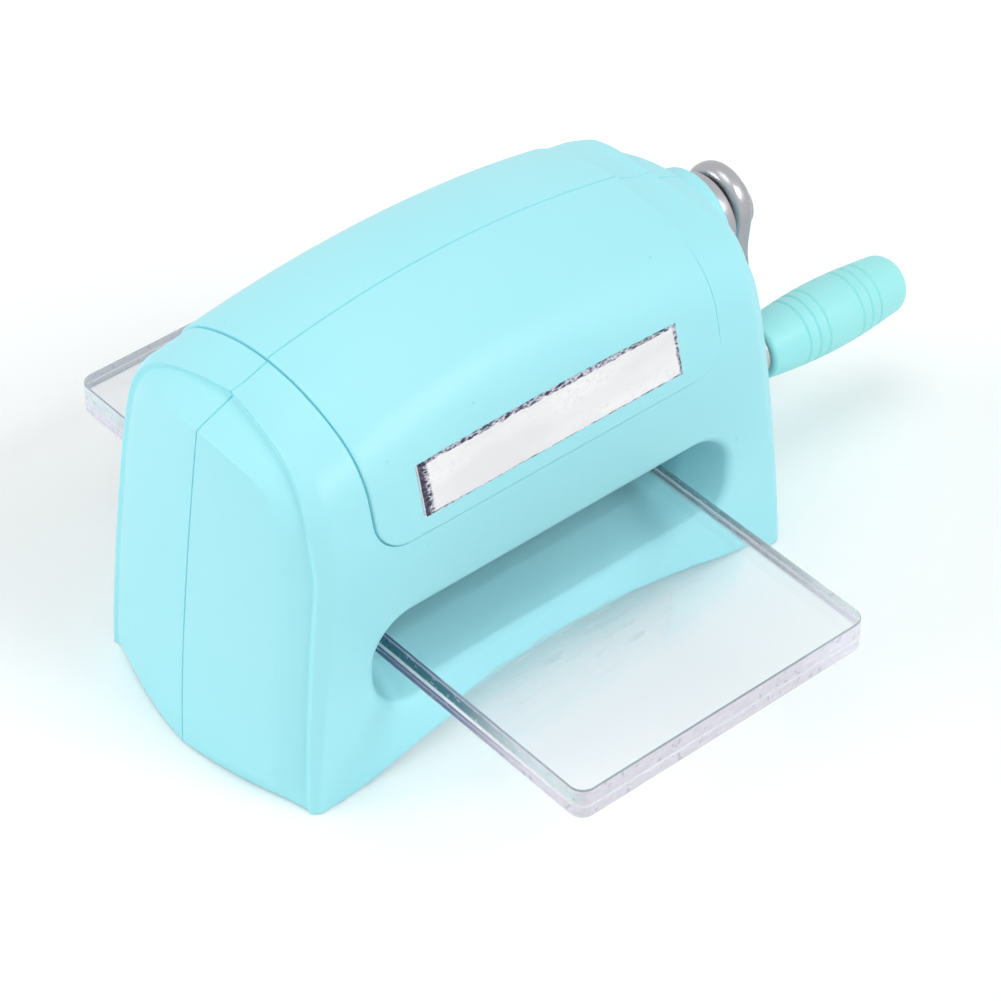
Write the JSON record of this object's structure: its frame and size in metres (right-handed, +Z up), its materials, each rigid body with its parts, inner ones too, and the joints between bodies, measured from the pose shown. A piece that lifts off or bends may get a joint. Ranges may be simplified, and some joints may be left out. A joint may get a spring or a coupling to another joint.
{
  "type": "die cutting machine",
  "caption": "Small hand-cranked die cutting machine: rounded plastic casing, rollers that feed a stack of clear plates through a slot, and a metal crank with a plastic grip.",
  "frame": {"origin": "on the ground plane under the middle of the casing, on the parting plane of its two halves", "axes": "+X towards the crank, +Y to the rear, against the labelled front, +Z up"},
  "size_m": [0.1772, 0.1495, 0.0847],
  "materials": {
    "casing_plastic": "satin moulded",
    "label_foil": "polished foil",
    "frame_steel": "plain",
    "roller_steel": "ground",
    "screw_steel": "plated",
    "bronze": "plain",
    "foot_rubber": "matt",
    "crank_chrome": "polished",
    "grip_plastic": "satin moulded",
    "clear_plastic": "polished clear"
  },
  "bodies": {
    "chassis": {"front_shell": "casing_plastic", "rear_shell": "casing_plastic", "front_label": "label_foil", "left_frame": "frame_steel", "right_frame": "frame_steel", "tie_rods": "frame_steel", "frame_screws": "screw_steel", "foot_screws": "screw_steel", "shell_screws": "screw_steel", "rubber_feet": "foot_rubber", "roller_bushes": "bronze", "crank_bushes": "bronze"},
    "plates": {"top_plate": "clear_plastic", "bottom_plate": "clear_plastic"},
    "upper_roller_set": {"upper_roller": "roller_steel", "roller_gear": "bronze", "roller_gear_pin": "screw_steel", "upper_roller_clip": "screw_steel"},
    "lower_roller_set": {"lower_roller": "roller_steel", "lower_roller_clips": "screw_steel"},
    "crank": {"crank_shaft": "frame_steel", "drive_pinion": "bronze", "drive_pinion_pin": "screw_steel", "crank_clip": "screw_steel", "hub_disc": "crank_chrome", "crank_arm": "crank_chrome", "arm_washer": "crank_chrome", "arm_screw": "screw_steel", "grip_pin": "screw_steel", "grip_clip": "screw_steel"},
    "hand_grip": {"grip": "grip_plastic"}
  },
  "joints": [
    {"name": "plate_feed", "type": "slide", "parent": "chassis", "child": "plates", "axis": [0, 1, 0], "range_m": [-0.064, 0.074]},
    {"name": "upper_roller_turn", "type": "hinge", "parent": "chassis", "child": "upper_roller_set", "pos_m": [0, 0, 0.042], "axis": [1, 0, 0], "continuous": true},
    {"name": "lower_roller_turn", "type": "hinge", "parent": "chassis", "child": "lower_roller_set", "pos_m": [0, 0, 0.01625], "axis": [1, 0, 0], "continuous": true},
    {"name": "crank_turn", "type": "hinge", "parent": "chassis", "child": "crank", "pos_m": [0.0662, 0, 0.06], "axis": [1, 0, 0], "continuous": true},
    {"name": "grip_spin", "type": "hinge", "parent": "crank", "child": "hand_grip", "pos_m": [0.0712, -0.00805, 0.02645], "axis": [0.9996, -0.0065, -0.0272], "continuous": true}
  ],
  "couplings": [
    {"joint": "upper_roller_turn", "follows": "plate_feed", "rad_per_m": 83.333},
    {"joint": "lower_roller_turn", "follows": "plate_feed", "rad_per_m": -160},
    {"joint": "crank_turn", "follows": "plate_feed", "rad_per_m": -166.67}
  ]
}
